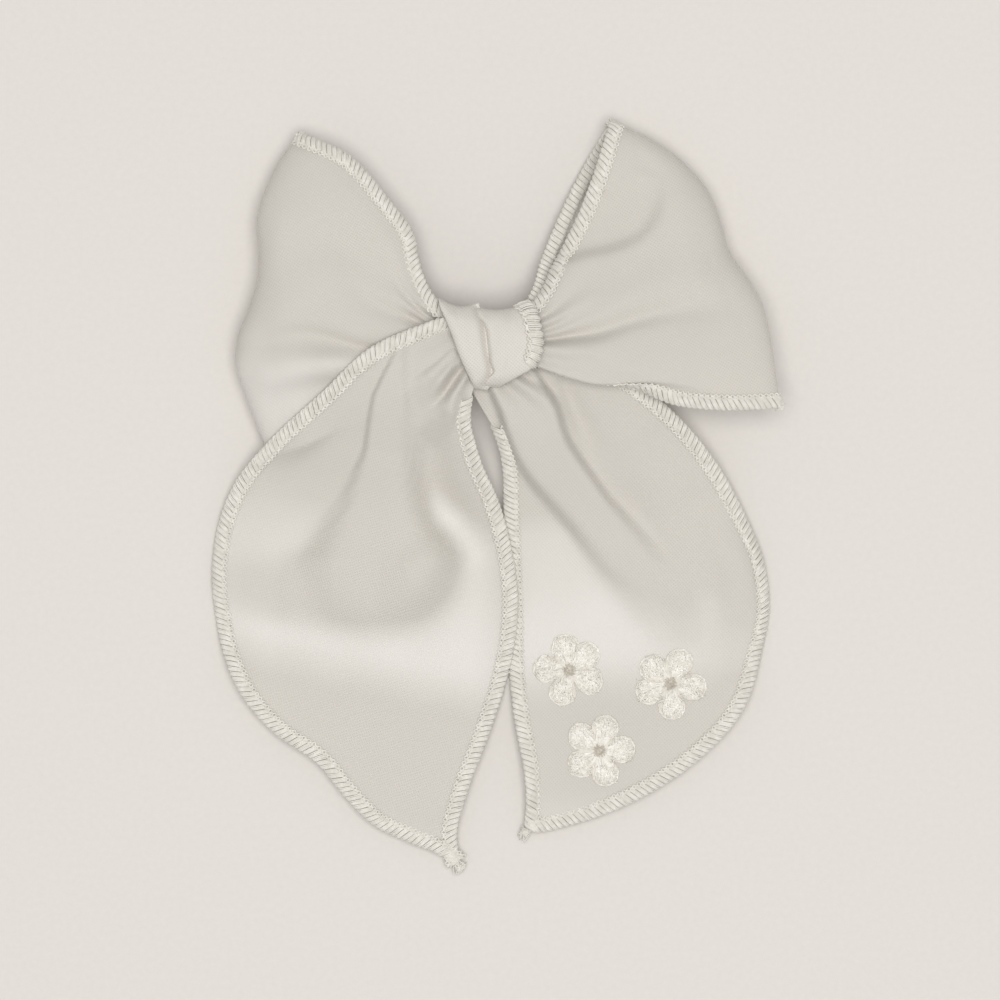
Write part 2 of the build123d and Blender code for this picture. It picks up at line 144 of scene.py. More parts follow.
def smoothstep(low, high, value):
    """0 at low and 1 at high, smoothly."""
    t = np.clip((value - low) / (high - low), 0, 1)
    return t * t * (3 - 2 * t)


def step(value):
    """0 far below zero and 1 far above it, smoothly."""
    return 0.5 + 0.5 * np.tanh(value)


def fold_height(x, y, fold):
    """Height that one fold adds. A fold is (line, heights, half widths, softness left, softness right)."""
    line, *keys = fold
    path = smooth_line(line, 80)
    along = np.gradient(path, axis=0)
    gap_x = x[..., None] - path[:, 0]
    gap_y = y[..., None] - path[:, 1]
    nearest = np.argmin(gap_x**2 + gap_y**2, axis=-1)
    rows = np.indices(nearest.shape)
    gap_x = gap_x[(*rows, nearest)]
    gap_y = gap_y[(*rows, nearest)]
    side = np.sign(along[nearest, 0] * gap_y - along[nearest, 1] * gap_x)
    distance = side * np.hypot(gap_x, gap_y)
    t = nearest / (len(path) - 1)
    height, width, left, right = (np.interp(t, np.linspace(0, 1, len(key)), key) for key in keys)
    return height * step((distance + width) / right) * step((width - distance) / left)


def ripples(x, y, wavelength, seed, waves=9):
    """Soft uneven rolls of the cloth, about -1 to 1."""
    random = np.random.default_rng(seed)
    total = np.zeros_like(x)
    for _ in range(waves):
        angle = random.uniform(0, math.pi)
        number = 2 * math.pi / (wavelength * random.uniform(0.7, 1.6))
        phase = random.uniform(0, 2 * math.pi)
        total += np.sin(number * (x * math.cos(angle) + y * math.sin(angle)) + phase)
    return total / math.sqrt(2 * waves)


OVERHEAD = 100
DOWN = Vector((0, 0, -1))


def surface_tree(*point_grids):
    """A search tree of cloth surfaces, for finding the height of what lies under another cloth."""
    vertices, faces = [], []
    for points in point_grids:
        rows, columns = points.shape[:2]
        base = len(vertices)
        vertices += [tuple(p) for p in points.reshape(-1, 3)]
        faces += [tuple(base + k for k in face) for face in grid_faces(rows, columns)]
    return BVHTree.FromPolygons(vertices, faces)


def lie_on(points, tree, gap):
    """Lifts a cloth, smoothly, so that it clears what lies under it."""
    needed = np.zeros(points.shape[:2])
    for spot in np.ndindex(needed.shape):
        x, y, z = points[spot]
        hit = tree.ray_cast(Vector((x, y, OVERHEAD)), DOWN)[0]
        if hit is not None:
            needed[spot] = max(0.0, hit.z + gap - z)
    lift = needed.copy()
    for _ in range(60):
        wide = np.pad(lift, 1, mode="edge")
        around = (wide[:-2, 1:-1] + wide[2:, 1:-1] + wide[1:-1, :-2] + wide[1:-1, 2:]) / 4
        lift = np.maximum(needed, around * 0.995)
    points[..., 2] += lift


# Meshes


def place(points):
    """Millimetres from the knot's middle to metres in the frame."""
    return np.asarray(points) * MM + np.array([KNOT_X, KNOT_Y, 0])


def grid_faces(rows, columns, closed=False):
    """Quads of a grid of points; closed joins its last row to its first."""
    row = np.arange(rows if closed else rows - 1)[:, None] * columns
    after = (row + columns) % (rows * columns)
    column = np.arange(columns - 1)[None, :]
    corners = (row + column, row + column + 1, after + column + 1, after + column)
    return np.stack(corners, axis=-1).reshape(-1, 4).tolist()


def new_object(name, data):
    """An object of the scene."""
    made = bpy.data.objects.new(name, data)
    bpy.context.scene.collection.objects.link(made)
    return made


def new_piece(name, points, faces, material):
    """A smooth-shaded mesh piece from points in millimetres."""
    mesh = bpy.data.meshes.new(name)
    mesh.from_pydata(place(points).tolist(), [], faces)
    mesh.polygons.foreach_set("use_smooth", [True] * len(mesh.polygons))
    mesh.materials.append(material)
    mesh.update()
    return new_object(name, mesh)


def apply_modifiers(piece):
    """The piece with its modifiers' result as its mesh."""
    graph = bpy.context.evaluated_depsgraph_get()
    made = bpy.data.meshes.new_from_object(piece.evaluated_get(graph), depsgraph=graph)
    piece.modifiers.clear()
    piece.data = made
    return piece


def cloth_piece(name, points, material, closed=False):
    """Thin closed cloth along a grid of points."""
    rows, columns = points.shape[:2]
    piece = new_piece(name, points.reshape(-1, 3), grid_faces(rows, columns, closed), material)
    weld = piece.modifiers.new("weld", "WELD")
    weld.merge_threshold = 0.02 * MM
    thick = piece.modifiers.new("thickness", "SOLIDIFY")
    thick.thickness = CLOTH_THICKNESS * MM
    thick.offset = 0
    thick.use_even_offset = False
    return apply_modifiers(piece)


OFF_AXIS = np.array([0.31, 0.22, 0.92])
END_TAPER = 0.45


def tube_mesh(paths, radius, sides=5):
    """Points and faces of round threads along an array of paths (thread, point, xyz), with tapered ends."""
    paths = np.asarray(paths, float)
    threads, length = paths.shape[:2]
    along = unit(np.gradient(paths, axis=1))
    across = unit(np.cross(along, OFF_AXIS))
    for k in range(1, length):
        lean = np.sum(across[:, k - 1] * along[:, k], axis=1, keepdims=True)
        across[:, k] = unit(across[:, k - 1] - along[:, k] * lean)
    other = np.cross(along, across)
    angle = np.arange(sides) * 2 * math.pi / sides
    taper = np.ones(length)
    taper[[0, -1]] = END_TAPER
    ring = across[:, :, None] * np.cos(angle)[:, None] + other[:, :, None] * np.sin(angle)[:, None]
    points = paths[:, :, None] + ring * (radius * taper)[:, None, None]
    quads = [
        (k * sides + s, k * sides + t, (k + 1) * sides + t, (k + 1) * sides + s)
        for k in range(length - 1)
        for s, t in zip(range(sides), [*range(1, sides), 0])
    ]
    start = range(sides)[::-1]
    end = range((length - 1) * sides, length * sides)
    base = (np.arange(threads) * length * sides)[:, None, None]
    faces = (np.array(quads)[None] + base).reshape(-1, 4).tolist()
    faces += (np.array([start, end])[None] + base).reshape(-1, sides).tolist()
    return points.reshape(-1, 3), faces


def joined(*parts):
    """Several (points, faces) as one."""
    points, faces, base = [], [], 0
    for some_points, some_faces in parts:
        points.append(some_points)
        faces += [[base + k for k in face] for face in some_faces]
        base += len(some_points)
    return np.vstack(points), faces


def rounded_paths(controls, count):
    """Smooth paths through an array of control points (thread, control, xyz)."""
    number = controls.shape[1]
    before = 2 * controls[:, :1] - controls[:, 1:2]
    after = 2 * controls[:, -1:] - controls[:, -2:-1]
    ends = np.concatenate([before, controls, after], 1)
    at = np.linspace(0, number - 1, count)
    i = np.minimum(at.astype(int), number - 2)
    t = (at - i)[None, :, None]
    p0, p1, p2, p3 = (ends[:, i + k] for k in range(4))
    return hermite(t, p1, (p2 - p0) / 2, p2, (p3 - p1) / 2)


# Materials


def srgb(red, green, blue):
    """A colour from 0 to 255 as the linear values that shaders take."""
    return tuple(((c / 255 + 0.055) / 1.055) ** 2.4 for c in (red, green, blue)) + (1.0,)


def darker(colour, share):
    """That share of a colour's light."""
    return tuple(c * share for c in colour[:3]) + (1.0,)


class Surface:
    """A procedural material: its shader, and short ways to add the nodes that feed it."""

    def __init__(self, name):
        self.material = bpy.data.materials.new(name)
        self.material.use_nodes = True
        self.nodes = self.material.node_tree.nodes
        self.shader = self.nodes["Principled BSDF"]

    def fill(self, socket, value):
        """Links a socket to another node's output, or sets it to a value."""
        if isinstance(value, bpy.types.NodeSocket):
            self.material.node_tree.links.new(value, socket)
        else:
            socket.default_value = value

    def shade(self, **inputs):
        """Fills inputs of the shader; their names' spaces are written as underscores."""
        for key, value in inputs.items():
            self.fill(self.shader.inputs[key.replace("_", " ")], value)

    def node(self, kind, **settings):
        """A node with its properties set, and its inputs filled by name."""
        node = self.nodes.new("ShaderNode" + kind)
        for key, value in settings.items():
            if hasattr(node, key):
                setattr(node, key, value)
            else:
                self.fill(node.inputs[key.replace("_", " ")], value)
        return node

    def mapped(self, turn=0.0, stretch=(1, 1, 1)):
        """Object coordinates in metres, turned about Z."""
        where = self.node("TexCoord").outputs["Object"]
        return self.node("Mapping", Vector=where, Rotation=(0, 0, turn), Scale=stretch).outputs["Vector"]

    def blended(self, factor, first, second):
        """A colour mixed from two. Either may be a socket or a colour."""
        mix = self.node("Mix", data_type="RGBA")
        for socket, value in ((0, factor), (6, first), (7, second)):
            self.fill(mix.inputs[socket], value)
        return mix.outputs[2]

    def ranged(self, value, low, high, start=0.0, end=1.0):
        """low where value is start, high where it is end."""
        return self.node(
            "MapRange", Value=value, From_Min=start, From_Max=end, To_Min=low, To_Max=high
        ).outputs["Result"]

    def arithmetic(self, operation, first, second):
        node = self.node("Math", operation=operation)
        self.fill(node.inputs[0], first)
        self.fill(node.inputs[1], second)
        return node.outputs[0]

    def wave(self, vector, direction, period, distortion=0.6):
        """Even bands with that period in metres."""
        return self.node(
            "TexWave", Vector=vector, bands_direction=direction, Scale=0.314 / period,
            Distortion=distortion, Detail=1.5, Detail_Scale=1.5,
        ).outputs["Fac"]

    def noise(self, vector, scale, detail=3.0):
        return self.node("TexNoise", Vector=vector, Scale=scale, Detail=detail, Roughness=0.55).outputs["Fac"]

    def bump(self, height, distance, strength=1.0):
        node = self.node("Bump", Height=height, Strength=strength, Distance=distance)
        self.shade(Normal=node.outputs["Normal"])


THREAD_PERIOD = 0.00046
IVORY = srgb(231, 227, 220)
IVORY_GAP = srgb(216, 211, 203)
# Paler ivory mixed into the cloth's colour as painted light
PAINTED_LIGHT_IVORY = srgb(252, 250, 246)
SINGLE_LAYER = 0.62


def chiffon(name, turn, painted_light=None, colour=IVORY, gap_colour=IVORY_GAP, alpha=SINGLE_LAYER):
    """Sheer woven cloth: fine crossed threads, a faintly uneven tone and a soft sheen.

    The fourth argument paints light into the cloth's colour, mixing in a paler ivory where light would come
    back through the weave from the pale surface below: the axis it changes along, where on it the painted
    light is full and where it is gone, in metres, and how strongly.
    """
    cloth = Surface(name)
    vector = cloth.mapped(turn)
    warp = cloth.wave(vector, "X", THREAD_PERIOD, 2.6)
    weft = cloth.wave(vector, "Y", THREAD_PERIOD * 1.15, 2.6)
    weave = cloth.arithmetic("MAXIMUM", warp, weft)
    crossing = cloth.arithmetic("MULTIPLY", warp, weft)
    slub = cloth.noise(vector, 900, 2.0)
    cloud = cloth.noise(vector, 45, 4.0)
    threads = cloth.blended(cloth.ranged(weave, 0.15, 1.0, 0.3, 0.85), gap_colour, colour)
    tone = cloth.blended(cloth.ranged(cloud, 0.0, 0.5, 0.35, 0.7), threads, darker(colour, 0.95))
    # Painted light: the cloth's colour turns towards a paler ivory along one axis
    if painted_light:
        axis, full, none, strength = painted_light
        along_axis = cloth.node("SeparateXYZ", Vector=cloth.mapped()).outputs[axis]
        tone = cloth.blended(cloth.ranged(along_axis, strength, 0.0, full, none), tone, PAINTED_LIGHT_IVORY)
    cloth.bump(cloth.arithmetic("ADD", cloth.arithmetic("ADD", weave, crossing), slub), 0.00006, 0.45)
    cloth.shade(Base_Color=tone, Roughness=cloth.ranged(slub, 0.62, 0.86), Alpha=alpha)
    cloth.shade(Specular_IOR_Level=0.25, Sheen_Weight=0.25, Sheen_Roughness=0.45)
    return cloth.material


def thread_material(name, colour, shade_colour, fuzz=0.00004):
    """Spun polyester thread: a satin lustre, fine fibres and a tone that changes from stitch to stitch."""
    thread = Surface(name)
    vector = thread.mapped(0.6)
    patches = thread.noise(vector, 700, 2.0)
    fibres = thread.wave(vector, "DIAGONAL", 0.00022, 2.5)
    tone = thread.blended(thread.ranged(patches, 0.0, 1.0, 0.38, 0.66), shade_colour, colour)
    thread.bump(fibres, fuzz, 0.5)
    thread.shade(Base_Color=tone, Roughness=thread.ranged(patches, 0.42, 0.62))
    thread.shade(Specular_IOR_Level=0.4, Sheen_Weight=0.3, Sheen_Roughness=0.35)
    return thread.material


# Painted light: the tails' cloth is paler where it lies within a few millimetres of the floor
PAINTED_LIGHT_NEAR_FLOOR = ("Z", 0.0008, 0.0036, 0.75)
# Painted highlight: the left loop's cloth turns paler towards its lower lobe, below the knot
PAINTED_LIGHT_LOWER_LOBE = ("Y", KNOT_Y - 7 * MM, KNOT_Y - 2 * MM, 0.5)
LOOP_CLOTH = {
    "left": chiffon("left loop chiffon", 0.55, PAINTED_LIGHT_LOWER_LOBE),
    "right": chiffon("right loop chiffon", 0.55),
}
TAIL_CLOTH = {
    "left": chiffon("left tail chiffon", -0.3, PAINTED_LIGHT_NEAR_FLOOR),
    "right": chiffon("right tail chiffon", 0.85, PAINTED_LIGHT_NEAR_FLOOR),
}
KNOT_CLOTH = chiffon("knot chiffon", 0.7, None, srgb(225, 221, 214), srgb(208, 203, 195), 0.9)
SERGE_THREAD = thread_material("overlock thread", srgb(231, 228, 221), srgb(219, 215, 207))
FLOWER_THREAD = thread_material("embroidery thread", srgb(248, 245, 239), srgb(237, 233, 224), 0.00006)
FLOWER_GROUND = thread_material("embroidery ground", srgb(230, 226, 217), srgb(219, 214, 204), 0.00006)
# Greyer than the petals' thread: painted shade in the eyelet's hollow
EYELET_THREAD_PAINTED_SHADE = thread_material("eyelet thread with painted shade", srgb(214, 208, 196), srgb(192, 185, 172))


# Loops

FOLD_ROUND = 0.22
LOOP_MIDDLE = 0.58
LOOP_ROWS = 190
LOOP_COLUMNS = 130
HEM_WIDTH = 3.4


def across_lines(start_line, end_line, near_edge, far_edge, u, f):
    """The patch between four lines: f goes from start_line to end_line, and u from near_edge to far_edge."""
    u_, f_ = u[..., None], f[..., None]
    corners = (
        (1 - u_) * (1 - f_) * start_line[0]
        + u_ * (1 - f_) * start_line[-1]
        + (1 - u_) * f_ * end_line[0]
        + u_ * f_ * end_line[-1]
    )
    sides = (1 - f_) * line_at(start_line, u) + f_ * line_at(end_line, u)
    return sides + (1 - u_) * line_at(near_edge, f) + u_ * line_at(far_edge, f) - corners


def layer_height(f, fold_z, shoulder_z, middle_z, neck_z):
    """A layer's height from the fold (f 0) round its shoulder and on to the knot (f 1)."""
    rise = np.sqrt(np.clip(1 - (1 - np.clip(f / FOLD_ROUND, 0, 1)) ** 2, 0, 1))
    near = fold_z + (shoulder_z - fold_z) * rise
    to_middle = smoothstep(FOLD_ROUND, LOOP_MIDDLE, f)
    to_neck = smoothstep(LOOP_MIDDLE, 1, f)
    far = shoulder_z + (middle_z - shoulder_z) * to_middle
    far = far + (neck_z - far) * to_neck
    return np.where(f < FOLD_ROUND, near, far)


def uneven_pleats(across, number, unevenness, drift, phase):
    """A wave of that many pleats from 0 to 1, closer together in some places than in others."""
    shift = unevenness * np.sin(2 * math.pi * drift * across + phase)
    return np.sin(2 * math.pi * (number * across + shift))


def loop_sheet(shape):
    """Points of one loop: a strip from behind the knot out to its fold and back over the top to the knot."""
    sheet_u, turn = np.meshgrid(np.linspace(0, 1, LOOP_COLUMNS), np.linspace(-1, 1, LOOP_ROWS))
    f = 1 - np.cos(np.abs(turn) * math.pi / 2)
    front = turn > 0
    fold_line, neck, upper, lower, back_upper, back_lower = (
        smooth_line(shape[key], 200) for key in ("fold", "neck", "upper", "lower", "back_upper", "back_lower")
    )
    opening = np.linalg.norm(line_at(upper, f) - line_at(lower, f), axis=-1)
    hem = np.clip(HEM_WIDTH / opening, 0.03, 0.4)
    tucked = np.where(front, shape["tuck"] * smoothstep(0.36, 0.72, f), 0)
    turned_down = np.where(front, shape["tuck"] * smoothstep(0.2, 0.5, f), 0)
    u = (1 - tucked) * sheet_u + tucked * np.abs(sheet_u - hem) / (1 - hem)
    under_hem = np.sqrt(1 - np.clip(sheet_u / hem, 0, 1) ** 2)
    plan_front = across_lines(fold_line, neck, lower, upper, u, f)
    plan_back = across_lines(fold_line, neck, back_lower, back_upper, u, f)
    plan = np.where(front[..., None], plan_front, plan_back)
    lowest, highest, back_middle, front_middle = smooth_values(shape["heights"], u)
    fold_z = (lowest + highest) / 2
    back_neck, front_neck = shape["neck_z"]
    z_front = layer_height(f, fold_z, highest, front_middle, front_neck)
    z_back = layer_height(f, fold_z, lowest, back_middle, back_neck)
    x, y = plan[..., 0], plan[..., 1]
    away = smoothstep(0, 0.12, f)
    for fold in shape["front_folds"]:
        z_front = z_front + away * fold_height(x, y, fold)
    for fold in shape["back_folds"]:
        z_back = z_back + away * fold_height(x, y, fold)
    pleat = uneven_pleats(u, shape["pleats"], 0.22, 1.4, shape["phase"])
    gathered = smoothstep(0.5, 0.95, f)
    z_front = z_front + 0.55 * pleat * gathered - 2.2 * turned_down * under_hem
    z_back = z_back + 0.4 * pleat * gathered
    z = np.where(front, z_front, z_back) + away * 0.22 * ripples(x, y, 13, shape["seed"])
    return np.dstack([plan, np.maximum(z, LOWEST_CLOTH)])


LEFT_LOOP = {
    "fold": [
        (-43.5, -23.5), (-46.2, -17.5), (-48.6, -11), (-50.4, -5), (-50, 0.5), (-47.6, 6.5),
        (-46, 12), (-45.8, 17), (-46.2, 24), (-44, 31), (-39.6, 38.4), (-37.4, 40.6),
    ],
    "neck": [(-3.5, -4.6), (-3.2, 0), (-3.5, 4.4)],
    "upper": [
        (-37.4, 40.6), (-28, 36), (-20, 27), (-15.6, 21), (-14, 14), (-11.4, 8.4), (-8.6, 5.8), (-3.5, 4.4),
    ],
    "lower": [(-43.5, -23.5), (-36, -21), (-26, -16), (-16, -10.4), (-9, -6), (-3.5, -4.6)],
    "back_upper": [
        (-37.4, 40.6), (-29, 35), (-21.4, 26), (-16.8, 19.6), (-14.8, 12.6), (-11.6, 7.4), (-3.5, 4.4),
    ],
    "back_lower": [(-43.5, -23.5), (-36, -20.6), (-26, -15), (-16, -9.4), (-9, -5.4), (-3.5, -4.6)],
    "heights": [
        (0, 0.9, 8.5, 5, 9), (0.15, 0.7, 11, 8.6, 12.5), (0.31, 1.1, 13.5, 10.8, 14),
        (0.49, 1.8, 15, 9.8, 14.6), (0.68, 1.8, 14.6, 6.6, 14), (0.87, 0.8, 13, 5, 12.8),
        (1, 2.1, 10.6, 5.4, 11.4),
    ],
    "neck_z": (12.6, 14.8),
    "pleats": 5,
    "tuck": 0,
    "phase": 0.4,
    "seed": 11,
    "front_folds": [
        (
            [(-8, 2.8), (-13, 3.4), (-18, 4.6), (-25, 8), (-33, 13)], (-2.6, -3, -2.4, -1, 0),
            (0.3, 0.5, 1.2, 2), (1, 4), (0.6, 2.5),
        ),
        (
            [(-20, -3), (-26, -1.6), (-37, 0.6), (-49, -2.4)], (-1.4, -2.6, -1.8, -0.4),
            (0.4, 0.7, 1.2, 2), (1.2, 3.5), (0.8, 2),
        ),
        (
            [(-11, 5.4), (-20, 12), (-32, 18), (-42, 20)], (-0.6, -1.6, -1.6, 0),
            (0.5, 1.2, 2.5, 3), (2, 6), (2, 5),
        ),
        ([(-12, 7), (-20, 19), (-28, 29)], (0.3, 1, 0.2), (0.6, 1.5, 2), (2, 4), (2, 4)),
        ([(-22, -5.5), (-32, -5.4), (-44, -7)], (0.8, 3.2, 1.2), (1, 2.2, 3), (1.4, 2), (1.6, 2.2)),
    ],
    "back_folds": [
        ([(-10, 3), (-24, 12), (-40, 26)], (0.4, 1.2, 0), (1, 3, 4), (3, 5), (3, 5)),
        ([(-24, -2), (-34, -6), (-44, -12)], (0.3, 0.8, 0), (1, 3, 4), (3, 5), (3, 5)),
    ],
}

RIGHT_LOOP = {
    "fold": [
        (57.2, -13.6), (56.4, -8), (55.4, 0), (53.8, 7), (50.6, 12.6), (47.4, 17.4), (46, 22.6),
        (43.8, 28.4), (38.4, 35), (32, 39.6), (25.4, 42.4), (24, 42.8),
    ],
    "neck": [(3.5, -4.2), (3.4, 0.6), (3.6, 4.8)],
    "upper": [
        (24, 42.8), (21.4, 34), (18.2, 25.4), (15.2, 19), (12.4, 13.8), (10, 8.6), (7.6, 6), (3.6, 4.8),
    ],
    "lower": [
        (57.2, -13.6), (47, -14), (38, -13.2), (30, -11.4), (20, -9.2), (12, -6.8), (7.6, -5.2), (3.5, -4.2),
    ],
    "back_upper": [(24, 42.8), (17.4, 31.4), (13.6, 23.2), (10.4, 15.4), (8.4, 9), (6.6, 6.2), (3.6, 4.8)],
    "back_lower": [(57.2, -13.6), (47, -13), (38, -12), (30, -10.2), (20, -7.6), (12, -5.6), (3.5, -4.2)],
    "heights": [
        (0, 14.2, 19.4, 14.8, 17.4), (0.12, 11.2, 18.8, 13.2, 17.6), (0.26, 6.7, 17.8, 11.8, 17.2),
        (0.40, 2.7, 16, 9.4, 16), (0.58, 0.7, 14.6, 6.2, 15), (0.78, 0.8, 13.6, 5.2, 13.6),
        (1, 2.2, 11, 5.6, 11.6),
    ],
    "neck_z": (14.4, 17),
    "pleats": 5,
    "tuck": 1,
    "phase": 2.1,
    "seed": 23,
    "front_folds": [
        (
            [(8, -0.4), (14, 0), (20.2, 0.6), (29.6, 3.8), (40.2, 6), (53, 6)],
            (-2.2, -3, -3, -2.4, -1.4, -0.2), (0.3, 0.5, 0.8, 1.4, 2), (1.6, 2.6, 5), (0.6, 1.4, 3),
        ),
        (
            [(9, 17.5), (18, 21.3), (24, 23), (27, 24.5), (28.5, 27), (29, 32)],
            (-1.5, -2.6, -2.6, -2.2, -0.8), (4, 5, 5), (5, 5), (0.7, 1.6),
        ),
        ([(9, -3), (17, -3), (26, -2.6)], (1.4, 1.5, 0), (0.8, 1, 1.4), (0.8, 1.6), (0.8, 2)),
        ([(10, 0.6), (20, 5), (32, 9), (44, 14)], (0.5, 1.5, 1.6, 0), (0.6, 1.5, 3, 4), (2, 5), (2, 4)),
        ([(12, -4.6), (26, -6), (44, -5)], (0.4, 1, 0.3), (0.8, 2, 3), (2, 4), (2, 4)),
    ],
    "back_folds": [
        ([(10, 3), (24, 12), (38, 24)], (0.4, 1.2, 0), (1, 3, 4), (3, 5), (3, 5)),
    ],
}

left_loop_points = loop_sheet(LEFT_LOOP)
right_loop_points = loop_sheet(RIGHT_LOOP)


# Tails

TAIL_ROWS = 190
TAIL_COLUMNS = 120


def tail_sheet(shape):
    """Points of one tail, from inside the knot down to its pointed tip."""
    left = smooth_line(shape["left"], TAIL_ROWS)
    right = smooth_line(shape["right"], TAIL_ROWS)
    across = np.tile(np.linspace(0, 1, TAIL_COLUMNS), (TAIL_ROWS, 1))
    plan = left[:, None] * (1 - across[..., None]) + right[:, None] * across[..., None]
    x, y = plan[..., 0], plan[..., 1]
    fall = -y + shape["fan"] * np.abs(x - shape["fan_from"])
    z = smooth_values(shape["heights"], np.clip(fall, shape["heights"][0][0], shape["heights"][-1][0]))[0]
    for fold in shape["folds"]:
        z = z + fold_height(x, y, fold)
    pleat = uneven_pleats(across, shape["pleats"], 0.2, 1.3, shape["phase"])
    from_knot = np.hypot(x, y + 1.5)
    z = z + 0.75 * pleat * (1 - smoothstep(7, 22, from_knot))
    z = z + 0.16 * ripples(x, y, 15, shape["seed"])
    edge = np.minimum(across, 1 - across)
    curl = (1 - smoothstep(0, 0.16, edge)) * smoothstep(30, 55, from_knot)
    z = z + curl * (0.35 + 0.45 * ripples(x, y, 22, shape["seed"] + 1))
    return np.dstack([plan, np.maximum(z, LOWEST_CLOTH)])


LEFT_TAIL = {
    "left": [
        (-3, 2.6), (-9, 3.6), (-14, 2), (-23, -2), (-33, -11), (-43, -20), (-50, -28), (-53.6, -36),
        (-55, -44), (-54.6, -54), (-53, -62), (-49.6, -70), (-43, -78), (-34, -84.4), (-28.6, -91),
        (-23, -96.6), (-16, -100), (-9.4, -102.8), (-6, -105.4),
    ],
    "right": [
        (-1.6, -6), (-3.4, -10.6), (-4.2, -15), (-2.6, -23), (1.6, -33), (4, -42), (5.2, -52), (4.6, -60),
        (2.4, -70), (-1, -80), (-4.8, -90), (-7, -99), (-6, -105.4),
    ],
    "fan": 0.22,
    "fan_from": 0,
    "heights": [
        (-5, 16.6), (4, 16.4), (12, 15.2), (18, 13.2), (28, 8.4), (38, 3.8), (48, 2), (60, 0.8), (68, 0.9),
        (78, 3.6), (94, 3.9), (106, 2.4), (130, 1.4),
    ],
    "pleats": 4,
    "phase": 0.9,
    "seed": 31,
    "folds": [
        (
            [(-17.4, -1.5), (-19.7, -12.5), (-20.7, -24), (-21.5, -33), (-21.5, -43.5)],
            (0.9, 1.7, 2.2, 3.6, 4.4), (0.5, 3.4, 4.2, 7.5, 13.5), (0.8, 1.2, 2.2, 3.6, 4.5),
            (0.4, 0.4, 0.5, 2, 4.5),
        ),
        ([(-24, -49), (-15, -48), (-10, -42)], (0, 2.4, 2.2), (6, 5, 3), (3, 3), (4, 4)),
        ([(-50, -49), (-40, -50), (-30, -50), (-22, -50)], (1.4, 2.8, 2, 0), (4, 5.4, 7, 7), (4, 4), (3, 3)),
        ([(-7, -3), (-11, -8), (-15.6, -12)], (1.6, 2.2, 0.2), (0.8, 1.9, 2.4), (0.6, 1.2), (0.5, 1)),
        ([(-4, -8), (-8, -14), (-13, -20)], (1.6, 2.4, 0), (0.9, 2.2, 2.8), (0.7, 1.6), (0.5, 1)),
        ([(-47, -36), (-49.5, -48), (-48, -58)], (0.5, 1.6, 0.2), (3, 4, 4), (4, 4), (4, 4)),
        (
            [(-9.5, -14), (-11, -21), (-11, -28), (-8.6, -35), (-4, -42)], (-0.6, -2.6, -3.8, -3.8, -2.6),
            (1.6, 2.6, 3.2, 3.8, 3.4), (3, 3.2), (2.2, 3),
        ),
    ],
}

RIGHT_TAIL = {
    "left": [
        (-4.6, -5), (-3.6, -10), (-1.2, -14.5), (0.8, -18), (2.2, -22), (3.2, -35.4), (3.8, -50), (4.4, -69),
        (5.4, -77), (7, -85), (7.6, -93), (7, -98.4),
    ],
    "right": [
        (4, -2), (11, -3), (20, -5), (27, -7.6), (32.8, -11.8), (38.4, -17), (44.2, -24), (50, -34),
        (54.4, -45), (55.4, -54), (54, -62), (50, -74), (42, -83), (32, -90), (18, -96), (11, -97.8),
        (7, -98.4),
    ],
    "fan": 0.1,
    "fan_from": 6,
    "heights": [
        (0, 13), (8, 12.2), (18, 10), (28, 6), (38, 2.6), (48, 1.6), (57, 0.8), (66, 1),
        (75, 3.4), (90, 3.6), (99, 2.2), (130, 1.4),
    ],
    "pleats": 3,
    "phase": 2.6,
    "seed": 47,
    "folds": [
        (
            [(3, -6), (7.4, -14), (10.4, -22), (17, -31), (26, -42), (35, -54), (38.5, -62)],
            (2.4, 3.6, 3.8, 3.8, 3.4, 2.4, 0.6), (4.4, 5.6, 5.2, 4.6, 5.2, 5, 4),
            (0.6, 0.7, 1, 2, 3.5), (0.6, 0.7, 1.2, 2.6, 3),
        ),
        ([(15, -9), (18.4, -17), (22, -25)], (-1.4, -1.6, 0), (1.2, 1.6, 2), (1.5, 2.5), (0.8, 1.5)),
        ([(46, -36), (49.8, -46), (50, -56), (47, -66)], (1.5, 3, 2.8, 0.8), (3, 3.6, 3.6), (2, 2), (2.5, 3)),
        ([(28, -22), (36, -31), (41, -42), (42, -56)], (1, 2.4, 2.8, 1.6), (3, 6, 6, 5), (4, 4), (4, 3)),
    ],
}

right_tail_points = tail_sheet(RIGHT_TAIL)
left_tail_points = tail_sheet(LEFT_TAIL)
SERGE_CLEARANCE = 1.5
lie_on(left_tail_points, surface_tree(left_loop_points, right_tail_points), SERGE_CLEARANCE)


# Serged edges

RAIL_STEP = 0.25
BUNDLE_SHARE = 0.86


def edge_rail(points, side):
    """A sheet's edge as an even line, with its inward and upward directions and its length."""
    rows = points if side == "first" else points[:, ::-1]
    edge = rows[:, 0]
    reach = np.linalg.norm(rows - rows[:, :1], axis=2)
    band_width = SERGE_WIDTH * 0.8
    column = np.clip(np.argmax(reach >= band_width, axis=1), 1, None)
    column = np.where(reach.max(axis=1) < band_width, rows.shape[1] - 1, column)
    run = run_along(edge)
    at = np.linspace(0, run[-1], max(8, int(run[-1] / RAIL_STEP)))
    line = sampled(edge, run, at)
    inward = sampled(rows[np.arange(len(rows)), column] - edge, run, at)
    along = unit(np.gradient(line, axis=0))
    inward = unit(inward - along * np.sum(along * inward, axis=1, keepdims=True))
    for _ in range(4):
        inward[1:-1] = (inward[:-2] + 2 * inward[1:-1] + inward[2:]) / 4
    inward = unit(inward)
    up = np.cross(along, inward)
    if up[len(up) // 2 :, 2].sum() < 0:
        up = -up
    return line, inward, up, run[-1]


